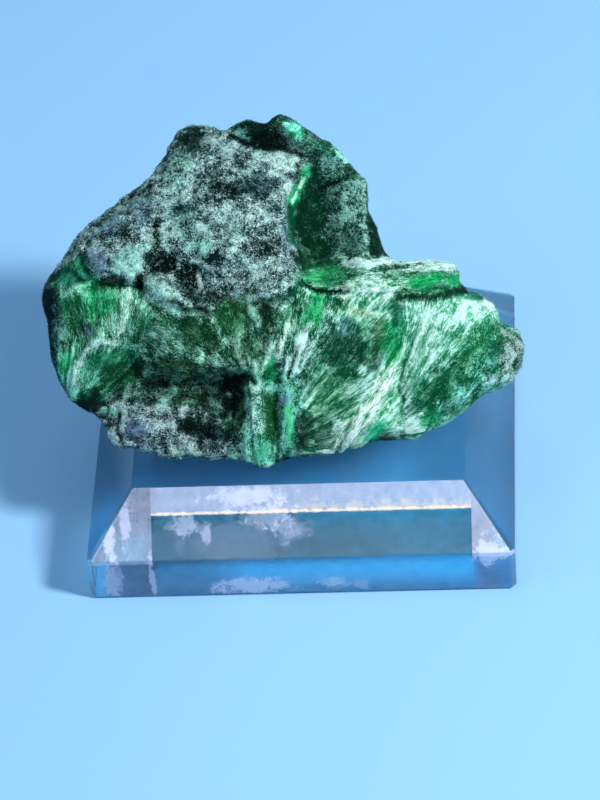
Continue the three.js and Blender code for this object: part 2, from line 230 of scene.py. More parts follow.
# Each smear has a middle (x, z), half widths in mm and a share.
smear_slope, smear_patchiness = 2.0, 6.0
smears = [
    ((-9.3, 17.6), (8.5, 1.5), 0.36), ((-5.5, 14.8), (5.5, 2), 0.32), ((-1.8, 13.2), (4, 2), 0.3),
    ((-20.4, 13.8), (3, 1.9), 0.42), ((-16.4, 12.8), (1, 1.7), 0.4), ((-12, 11.5), (12, 3.2), 0.1),
    ((33.6, 8.8), (3.4, 3.1), 0.6), ((-9, 2.2), (8.4, 2.4), 0.62), ((6, 2.8), (3.2, 1.9), 0.4),
    ((10.4, 2.2), (2, 1.4), 0.3), ((-33.6, 4), (1.9, 7), 0.4), ((-26.6, 4), (0.7, 6), 0.45),
    ((-31, 14.5), (1.2, 4.5), 0.4), ((-33.7, 12), (1.2, 4.5), 0.55),
]


def beyond(amount, fade):
    """Rises from 0 where the amount is none to 1 where it is as large as `fade`."""
    return (amount * (1 / fade)).limited()


bloom_and_caustic = Finish("bloom_and_caustic_acrylic")
place = bloom_and_caustic.place()
across = bloom_and_caustic.node("SeparateXYZ", {}, {0: place}, output=0)
height = bloom_and_caustic.node("SeparateXYZ", {}, {0: place}, output=2)
uneven = marks(bloom_and_caustic, 520.0, 6.0, 0.8) - 0.5

band = beyond(height + uneven * band_raggedness - bloom_level, band_fade)
left_end = beyond(bloom_left - across, end_fade)
right_end = beyond(across - bloom_right, end_fade)
on_bevel = beyond(height - bevel_foot, foot_fade)
bloom = band.larger(left_end.larger(right_end)) * (on_bevel * (1 - side_bloom) + side_bloom)
over_line = height - bloom_level
off_line = over_line.larger(bloom_level - height) * (1 / painted_caustic_half)
between_ends = (1 - left_end) * (1 - right_end)
painted_caustic = ((1 - off_line) * painted_caustic_strength + uneven * painted_caustic_patchiness).limited() * between_ends
painted_glint = (uneven * painted_glint_patchiness + painted_glint_strength - over_line * (1 / painted_glint_height)).limited() * band
painted_glint = painted_glint * beyond(across - painted_glint_left, painted_glint_fade) * (1 - right_end)
film = bloom * (bloom_share - left_end * left_thinness + uneven * bloom_patchiness)
film = film + painted_caustic * painted_caustic_share + painted_glint * painted_glint_share
for (x, z), (half_x, half_z), smear_share in smears:
    spread = bloom_and_caustic.node("Mapping", {}, {
        "Vector": place,
        "Scale": (1 / (half_x * MM), 0.0, 1 / (half_z * MM)),
        "Location": (-x / half_x, 0.0, -z / half_z),
    })
    away = bloom_and_caustic.node("VectorMath", {"operation": "LENGTH"}, {0: spread}, output=1)
    film = film + ((1 - away) * smear_slope + uneven * smear_patchiness).limited() * smear_share
# The film is pale blue for the dust and warm where the painted caustic and its painted glints lie.
film_tone = (painted_caustic + painted_glint * painted_glint_warmth).limited().between(colour(214, 220, 250), colour(255, 230, 202))
add_filmed(bloom_and_caustic, film.limited() * most_dust, film_tone, haze=0.0, wear=0.1, depth=0.02 * MM)

# The back side still has the frost of the saw.
sawn = Finish("sawn_acrylic")
frost = sawn.node("Bump", {}, {"Height": marks(sawn, 700.0, 3.0), "Strength": 0.2, "Distance": 0.1 * MM})
add_acrylic(sawn, clear_body(sawn, 0.45, frost))

# The acrylics' numbers on the block, in the order in which they were added.
polished_skin, scuffed_skin, bloom_and_caustic_skin, sawn_skin = range(4)
level_enough = 0.9
bevel_enough = 0.5
for face in block_mesh.polygons:
    if face.normal.z < -level_enough:
        face.material_index = scuffed_skin
    elif face.normal.y < -bevel_enough:
        face.material_index = bloom_and_caustic_skin
    elif face.normal.y > level_enough:
        face.material_index = sawn_skin
    else:
        face.material_index = polished_skin

block = add_piece("display_block", block_mesh, ["acrylic_block"])

# The stone: one hand specimen of fibrous malachite, grown as radiating sprays of silky needles and
# broken out by hand. A matt grey-green crust covers its upper slope, and velvet lines its hollows.

# The show face has a frame of its own, in mm: u across, v up the face and w out of it, from the
# middle of the front edge of the block's top.
face_origin = np.array([0, -25.5, 19])
face_lean = math.radians(43.3)
face_turn = math.radians(-6.05)
face_roll = math.radians(-5.7)


def looking(turn, fall):
    """The way of a look from the front, turned to the right by one angle and down by the other."""
    return Vector((math.sin(turn) * math.cos(fall), math.cos(turn) * math.cos(fall), -math.sin(fall)))


def level_right(turn):
    """The level way to the right of that look."""
    return Vector((math.cos(turn), -math.sin(turn), 0))


out_way = -looking(face_turn, face_lean)
across_way = Matrix.Rotation(face_roll, 3, out_way) @ level_right(face_turn)
face_axes = np.array([across_way, out_way.cross(across_way), out_way])
out_way = np.array(out_way)


def noise(points, size, seed):
    """Smooth random values from -1 to 1 over points in mm, with lumps about `size` mm apart.

    The large odd numbers only scramble the cells' places, so that each cell gets a value of its own.
    """
    cells = np.asarray(points) / size + 31.7 * seed
    low = np.floor(cells).astype(np.int64)
    part = cells - low
    part = part * part * (3 - 2 * part)
    total = np.zeros(len(cells))
    for corner in itertools.product((0, 1), repeat=3):
        at = low + corner
        mixed = at[:, 0] * 73856093 ^ at[:, 1] * 19349663 ^ at[:, 2] * 83492791
        mixed = ((mixed ^ (mixed >> 13)) * 1274126177) & 0xFFFFFFFF
        mixed = ((mixed ^ (mixed >> 15)) * 2246822519) & 0xFFFFFFFF
        value = ((mixed ^ (mixed >> 16)) & 0xFFFF) / 32767.5 - 1
        total += value * np.where(corner, part, 1 - part).prod(axis=1)
    return total


def rough(points, size, seed, octaves=3):
    """Noise with finer and finer lumps added at half strength each."""
    return sum(noise(points, size / 2**n, seed + n) / 2**n for n in range(octaves))


def creased(points, size, seed):
    """Noise with sharp crests at 1 and rounded valleys at -1."""
    return 1 - 4 * np.abs(noise(points, size, seed))


def ramp(value, low, high):
    """Rises smoothly from 0 at `low` to 1 at `high`."""
    share = np.clip((value - low) / (high - low), 0, 1)
    return share * share * (3 - 2 * share)


def line_distance(line, u, v):
    """Distance in mm from (u, v) to an open line of points."""
    nearest = np.full(len(u), np.inf)
    for (ua, va), (ub, vb) in zip(line, line[1:]):
        du, dv = ub - ua, vb - va
        along = np.clip(((u - ua) * du + (v - va) * dv) / (du * du + dv * dv), 0, 1)
        nearest = np.minimum(nearest, np.hypot(u - ua - along * du, v - va - along * dv))
    return nearest


def depth_inside(edge, u, v):
    """Distance in mm from (u, v) to a closed outline, positive inside it."""
    closed = edge + edge[:1]
    nearest = line_distance(closed, u, v)
    inside = np.zeros(len(u), bool)
    for (ua, va), (ub, vb) in zip(closed, edge[1:] + edge[:1]):
        if va != vb:
            inside ^= ((va > v) != (vb > v)) & (u < ua + (v - va) * (ub - ua) / (vb - va))
    return np.where(inside, nearest, -nearest)


def relaxed(values, edges, rounds):
    """Values at a mesh's points, each drawn halfway to the mean of its neighbours, some times over."""
    values = values.reshape(len(values), -1)
    degree = np.maximum(np.bincount(edges.ravel(), minlength=len(values)), 1)[:, None]
    for _ in range(rounds):
        near = np.stack([
            np.bincount(edges[:, 0], column[edges[:, 1]], len(values))
            + np.bincount(edges[:, 1], column[edges[:, 0]], len(values))
            for column in values.T
        ], axis=1)
        values = (values + near / degree) / 2
    return values


def read(data, name, kind, width=1):
    """A mesh's values as an array."""
    values = np.empty(len(data) * width, kind)
    data.foreach_get(name, values)
    return values.reshape(-1, width) if width > 1 else values


stone_grain = 0.4 * MM
facet_smoothing = 8

stone_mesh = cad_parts["malachite"].data.copy()
stone_mesh.materials.clear()
rough_stone = put("rough_stone", stone_mesh)
grain = rough_stone.modifiers.new("grain", "REMESH")
grain.mode = "VOXEL"
grain.voxel_size = stone_grain
bpy.context.view_layer.update()
evenly_meshed = rough_stone.evaluated_get(bpy.context.evaluated_depsgraph_get())
stone_mesh = bpy.data.meshes.new_from_object(evenly_meshed)
bpy.data.objects.remove(rough_stone)

edges = read(stone_mesh.edges, "vertices", np.int32, 2)
points = relaxed(read(stone_mesh.vertices, "co", np.float32, 3) / MM, edges, facet_smoothing)


def face_place(points):
    """Points in mm as their u, v and w in the frame of the show face."""
    return (points - face_origin) @ face_axes.T


def normals_at(points):
    """The mesh's normals with its points moved to the given places, in mm."""
    stone_mesh.vertices.foreach_set("co", (points * MM).astype(np.float32).ravel())
    stone_mesh.update()
    return read(stone_mesh.vertex_normals, "vector", np.float32, 3).astype(float)


def pigment(shade):
    """A colour given as it shows on a screen, as the three values that are stored on the mesh."""
    return np.array(colour(*shade)[:3])


def laid(over, new, hold):
    """The values in `over`, replaced by a new value as far as `hold` says, from 0 to 1."""
    return over * (1 - hold) + hold * new


# `front` is 1 on the show face, and falls to 0 where the stone turns away from it or lies far behind.
turned_away = (-0.4, 0.05)
far_behind = (-34, -27)
normals = normals_at(points)
u, v, w = face_place(points).T
front = ramp(normals @ out_way, *turned_away) * ramp(w, *far_behind)

# Zones of the show face. An edge is an outline of (u, v), and `soft` is how far it blurs, in mm. The
# colour goes from `deep` to `pale`, with `share` of it pale. Lumps are `lump` mm high. Needles radiate
# from `root` in bundles `bundle` mm high, as silky as `silk` says, and `short` cuts their length.
crust_edge = [
    (-26, 66), (-12.5, 66), (-12, 61.5), (-6.5, 59.5), (0.5, 59.5), (2.4, 58.2), (1.1, 54.5), (-1.6, 51.3),
    (-2.3, 48.2), (-1.4, 44.1), (0, 40), (1.2, 36), (-3, 33.5), (-9.5, 32), (-14.5, 31), (-20, 32),
    (-30.5, 35.5), (-37, 36), (-46, 39), (-36, 53),
]
tongue_edge = [(1, 36.5), (-1.5, 32.5), (-3.5, 27), (-6.5, 27), (-9.5, 31), (-14.5, 31.5), (-10, 35.5)]
upper_lump_edge = [
    (-37, 41.6), (-31.5, 42.6), (-27.6, 41), (-26.8, 37.8), (-28.8, 35.9), (-34, 36.6), (-37, 38.6),
]
lower_lump_edge = [(-27.6, 36.4), (-24, 37), (-19.5, 33.6), (-17.6, 30), (-21, 29.6), (-26.6, 33)]
facet_edge = [(-44.4, 34.4), (-42.3, 38.3), (-38, 40.3), (-35.3, 36.6), (-41.7, 33.1)]
centre_edge = [
    (-27, 33), (-17, 30), (-9.5, 32), (-3.5, 27), (-2, 23.5), (-6.5, 19.5), (-9, 19), (-17, 19.5),
    (-27, 19), (-31, 25),
]
lip_edge = [(-38, 13.5), (-29.5, 14.5), (-17.5, 13.5), (-11, 9), (-6.5, 1), (-14.5, 0), (-36, 2)]
hollow_edge = [
    (0.5, 61), (9, 60), (15, 54), (15, 47), (21, 42), (16, 39.5), (5, 38.5), (1.2, 37.5), (0, 40),
    (-1.4, 44.1), (-2.3, 48.2), (-1.6, 51.3), (1.1, 54.5), (2.4, 58.2),
]
crust_pale, crust_deep = (182, 216, 214), (4, 29, 32)
zones = {
    "velvet hollow": dict(edge=hollow_edge, pale=(112, 172, 158), deep=(4, 40, 30), share=0.41, lump=0.25),
    "crusted slope": dict(edge=crust_edge, pale=crust_pale, deep=crust_deep, share=0.52, lump=0.5),
    "top knobs": dict(
        edge=[(-12, 61.5), (-6.5, 59.5), (0.5, 59.5), (2, 68), (-12, 68)],
        pale=(92, 164, 150), deep=(4, 22, 18), share=0.38, lump=0.3),
    "dark recess": dict(
        edge=[(-33, 20), (-9, 20), (-9, 8), (-30, 12)],
        pale=(140, 178, 166), deep=(10, 42, 34), share=0.42, lump=0.4),
    "velvet centre": dict(
        edge=centre_edge, root=(-7.6, 16), bundle=0.12,
        pale=(168, 232, 206), deep=(4, 44, 26), share=0.46, lump=0.35, silk=0.8, soft=0.6, short=1.8),
    "left facet": dict(
        edge=facet_edge, root=(-72, -15.5), bundle=0.1,
        pale=(66, 164, 146), deep=(4, 62, 48), share=0.46, silk=0.8),
    # The left side's darker colours are partly its own and partly painted shade, as it faces away from the
    # key light.
    "left side": dict(
        edge=[(-50, 35), (-44.6, 34.9), (-41.9, 33.1), (-42.7, 27), (-42.2, 20), (-39.5, 15.5), (-50, 14)],
        pale=(72, 142, 148), deep=(3, 26, 26), share=0.36, lump=0.2),
    "left fan": dict(
        edge=[(-42, 33.2), (-35.6, 36.8), (-28.5, 35), (-24.5, 30), (-28, 24), (-42.8, 24)],
        root=(-32.3, 6), bundle=0.24, pale=(176, 250, 226), deep=(2, 66, 36), share=0.49, silk=0.9, soft=0.5),
    "left crest": dict(
        edge=[(-42.7, 24.6), (-36, 25.5), (-27.5, 24.5), (-30, 19), (-36, 14), (-40.5, 14), (-42.3, 20)],
        root=(-42.5, 8), bundle=0.24,
        pale=(146, 240, 214), deep=(3, 72, 46), share=0.46, silk=0.85, soft=0.5),
    "lower lip": dict(edge=lip_edge, pale=(182, 200, 204), deep=(17, 44, 46), share=0.54, lump=0.5),
    "flutes": dict(
        edge=[(-9.5, 19.5), (-3, 20), (1, 17.5), (2, 3), (-3, 2), (-8.5, 1), (-10, 9.5)],
        root=(-6.3, -14), bundle=0.3, pale=(122, 206, 184), deep=(6, 66, 46), share=0.48, silk=0.5, soft=0.4),
    "bowl": dict(
        edge=[(1, 18.5), (3, 21), (8, 31), (9, 35), (18, 33), (18, 24), (14, 15), (6, 3), (1, 3)],
        root=(-6, 5), bundle=0.3, pale=(204, 254, 246), deep=(15, 100, 68), share=0.56, silk=1.0, soft=1.1),
    "fan ridge": dict(
        edge=[(-3.5, 20.5), (-0.5, 17), (3, 21), (8.5, 31), (9, 35.5), (0, 36.5), (-3.5, 29)],
        root=(-2.8, 14), bundle=0.4, pale=(188, 250, 238), deep=(2, 56, 36), share=0.4, silk=0.8, soft=1.1),
    "hem": dict(
        edge=[(18.6, 27), (15.5, 24), (12.5, 16), (5.5, 7), (6, 3), (16, 3), (18.2, 10)],
        root=(0.4, -4), bundle=0.42, pale=(208, 250, 240), deep=(18, 122, 82), share=0.5, silk=1.0, soft=1.1),
    "right lobe": dict(
        edge=[(18.6, 33), (28.5, 34.5), (36, 36.5), (38, 31), (30, 22), (22, 7), (18, 5)],
        root=(14.5, 8), bundle=0.4, pale=(192, 248, 240), deep=(8, 98, 68), share=0.47, silk=0.95, soft=0.6),
    "lobe foot": dict(
        edge=[(38, 31), (46, 24), (42, 12), (31, 9), (23.5, 5), (22, 7), (24, 15), (30, 22)],
        root=(15, -4), bundle=0.3, pale=(152, 236, 222), deep=(3, 72, 48), share=0.41, silk=0.7, soft=1.2),
    "shelf": dict(
        edge=[(0, 35), (9, 35), (18, 33), (26, 34.3), (31, 36), (31, 42), (9, 41), (1, 39)],
        root=(-45, 29), bundle=0.3, pale=(184, 240, 226), deep=(4, 54, 32), share=0.36, silk=0.75),
}
hard_edge = 0.35

# The edges wander coarsely and finely, so that no outline is straight. Each has its size and reach.
coarse_size, coarse_reach = 4, 0.7
fine_size, fine_reach = 1.3, 0.35
wavy_u = u + (noise(points, coarse_size, 3) * coarse_reach + noise(points, fine_size, 5) * fine_reach)
wavy_v = v + (noise(points, coarse_size, 4) * coarse_reach + noise(points, fine_size, 6) * fine_reach)

# `fibre` is a point's place in its spray: across the strands and along them in mm, and a number that
# keeps sprays apart. `comb` is the way that its needles lie, as long as they are well combed.
count = len(points)
fibre = np.zeros((count, 3))
comb = np.zeros((count, 3))

# What the stone is like outside the zones.
plain_lump, zone_lump = 0.45, 0.1
plain_pale, plain_deep, plain_share = (98, 140, 128), (10, 40, 32), 0.42
lump_height = np.full(count, plain_lump)
bundle_height = np.zeros(count)
silk = np.zeros(count)
pale = np.tile(pigment(plain_pale), (count, 1))
deep = np.tile(pigment(plain_deep), (count, 1))
share = plain_share + 0.12 * rough(points, 9, 21)

# The radius at which a spray's angle is read as a width in mm, and the step from spray to spray.
spray_reach = 20.0
spray_step = 9.0
first_hidden = 200

for number, zone in enumerate(zones.values()):
    inside = depth_inside(zone["edge"], wavy_u, wavy_v)
    soft = zone.get("soft", hard_edge)
    mask = ramp(inside, -soft, soft) * front
    pale = laid(pale, pigment(zone["pale"]), mask[:, None])
    deep = laid(deep, pigment(zone["deep"]), mask[:, None])
    share = laid(share, zone["share"], mask)
    lump_height = laid(lump_height, zone.get("lump", zone_lump), mask)
    bundle_height = laid(bundle_height, zone.get("bundle", 0), mask)
    silk = laid(silk, zone.get("silk", 0), mask)
    if "root" in zone:
        du, dv = u - zone["root"][0], v - zone["root"][1]
        reach = np.hypot(du, dv)
        scale = max(spray_reach, np.median(reach[mask > 0.5]))
        taken = mask > 0.5
        ways = np.stack([du / reach, dv / reach], axis=1) @ face_axes[:2]
        comb[taken] = ways[taken] * zone["silk"]
        apart = np.full(count, spray_step * number)
        in_spray = np.stack([np.arctan2(dv, du) * scale, reach * zone.get("short", 1), apart], axis=1)
        fibre[taken] = in_spray[taken]

# Out of sight the broken stone shows sprays too. Each has a root (x, y, z) inside the stone and a reach.
hidden_sprays = [
    ((22, 14, 24), 15), ((-12, 22, 22), 19), ((-38, 8, 30), 12),
    ((8, 20, 46), 14), ((-28, 20, 48), 13), ((38, -4, 26), 9),
]
hidden_pale, hidden_deep = pigment((168, 220, 196)), pigment((10, 78, 46))
hidden_silk = 0.9
hidden_bundle = 0.35
crust_patch = ramp(rough(points, 15, 24), 0.05, 0.5) * (1 - front)
pale += (pigment(crust_pale) - pale) * crust_patch[:, None]
for number, (root, reach) in enumerate(hidden_sprays):
    away = points - root
    distance = np.linalg.norm(away, axis=1)
    mask = ramp(distance + 2.5 * noise(points, 4, 40 + number), reach, reach * 0.75) * (1 - front)
    pale = laid(pale, hidden_pale, mask[:, None])
    deep = laid(deep, hidden_deep, mask[:, None])
    silk = np.maximum(silk, mask * hidden_silk)
    bundle_height = np.maximum(bundle_height, mask * hidden_bundle)
    taken = mask > 0.5
    heading = away[taken] / distance[taken, None]
    comb[taken] = heading * hidden_silk
    facing = normals[taken].mean(axis=0)
    level_way = np.cross(facing, (0.3, 0.2, 1))
    turned = np.arctan2(heading @ np.cross(facing, level_way), heading @ level_way)
    apart = np.full(taken.sum(), first_hidden + spray_step * number)
    fibre[taken] = np.stack([turned * spray_reach, distance[taken], apart], axis=1)

# Steps: the ground inside each edge stands above the ground outside it by some mm, with a crisp
# brink, and falls back to level within the reach.
step_brink = 0.5
step_reach = 2.2
steps = [
    (crust_edge, 0.7), (tongue_edge, 0.4), (upper_lump_edge, 0.5), (lower_lump_edge, 0.6),
    (centre_edge, 0.35), (lip_edge, 0.4), (facet_edge, -0.3),
]
# Grooves and crests: a line of (u, v), how far it rises and its half width, in mm.
lines = [
    ([(0.3, 35.5), (3.2, 34.4), (5.8, 33.9), (8.6, 34.3)], -0.7, 0.35),
    ([(17.4, 33.6), (21.8, 33.2), (26.3, 33.9), (30.8, 35.4)], -0.7, 0.7),
    ([(18.7, 22), (18.2, 19.5), (18.4, 14), (17.4, 11)], -0.25, 0.4),
    ([(-31.5, 12), (-31.9, 9), (-31.3, 6.5)], -0.9, 0.5),
    ([(-28.1, 37), (-28.3, 34.5)], -0.9, 0.6),
    ([(-36.5, 36.3), (-31, 35.9)], -0.6, 0.5),
    ([(-25.4, 46.5), (-25.2, 41.5)], -0.6, 0.5),
    ([(-16, 51.2), (-10.5, 52.6)], -0.5, 0.7),
    ([(-44.4, 34.4), (-41.7, 33.1), (-35.3, 36.6)], 0.35, 0.35),
    ([(-12.8, 16), (-12.8, 10.5)], 3.4, 2.0),
    ([(-40, 17.6), (-39.4, 20.3), (-38.1, 22.6), (-36.3, 24.2), (-34.2, 25.1), (-31.8, 25.4)], 0.6, 0.7),
    ([(-31, 34), (-30.4, 29), (-32, 25.5)], 0.4, 0.8),
    ([(-2.2, 20.5), (0.4, 26.3), (4.3, 32.9)], 0.4, 0.9),
    ([(17.6, 22.5), (15.3, 16.3), (9.6, 9.2), (6.5, 5.5)], 0.45, 0.9),
    ([(22, 13), (26, 22), (32, 30)], 0.3, 1.0),
    ([(-3.5, 19), (-3.8, 12), (-3.6, 6)], -0.35, 0.6),
    ([(1.5, 16), (2.5, 9), (3, 5)], -0.4, 0.8),
    ([(-13, 19.4), (-9, 19.1), (-7.9, 18)], -1.0, 0.5),
    ([(-20, 12.8), (-14, 11), (-10.5, 6)], -0.6, 0.7),
    ([(8, 39.6), (18, 40.2), (27, 39.4)], 0.4, 0.6),
    ([(-1.9, 45.5), (-1.7, 50), (1.4, 55.5), (2.4, 58)], 0.4, 0.5),
    ([(3.8, 53), (5.9, 53.7), (8.6, 54.6)], -0.35, 0.5),
]

lift = np.zeros(count)
for edge, rise in steps:
    inside = depth_inside(edge, wavy_u, wavy_v)
    lift += rise * np.tanh(inside / step_brink) * np.exp(-((inside / step_reach) ** 2))
for line, rise, half in lines:
    lift += rise * np.exp(-((line_distance(line, wavy_u, wavy_v) / half) ** 2))


def by_strand(places, wide, long):
    """Places in a spray, counted in strands of the given width and length in mm."""
    return places * (1 / wide, 1 / long, 1)


bundles = 0.65 * creased(by_strand(fibre, 1.5, 14), 1, 11) + 0.35 * creased(by_strand(fibre, 0.75, 9), 1, 12)
splinters = noise(by_strand(fibre, 1.1, 4), 1, 13)
knobbly = 0.5 * rough(points, 3.4, 14) + 0.35 * creased(points, 2.1, 16) + 0.3 * noise(points, 0.95, 17)
broken = 0.8 * rough(points, 7, 18) + 0.25 * creased(points, 2.8, 20)

lift = lift * front
points = points + out_way * lift[:, None]
broken_height = 0.55
swell = bundle_height * (bundles * 0.7 + splinters * 0.6) + lump_height * knobbly
swell = swell + (1 - front) * broken_height * broken
points = points + normals * swell[:, None]

# The stone stays within the box of its solid, by a hair.
box_margin = 0.02
relief_smoothing = 10
box_low, box_high = (np.array(corner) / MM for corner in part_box("malachite"))
points = np.clip(points, box_low + box_margin, box_high - box_margin)
normals = normals_at(points)
level = relaxed(points, edges, relief_smoothing)
relief_mm = ((points - level) * normals).sum(axis=1)

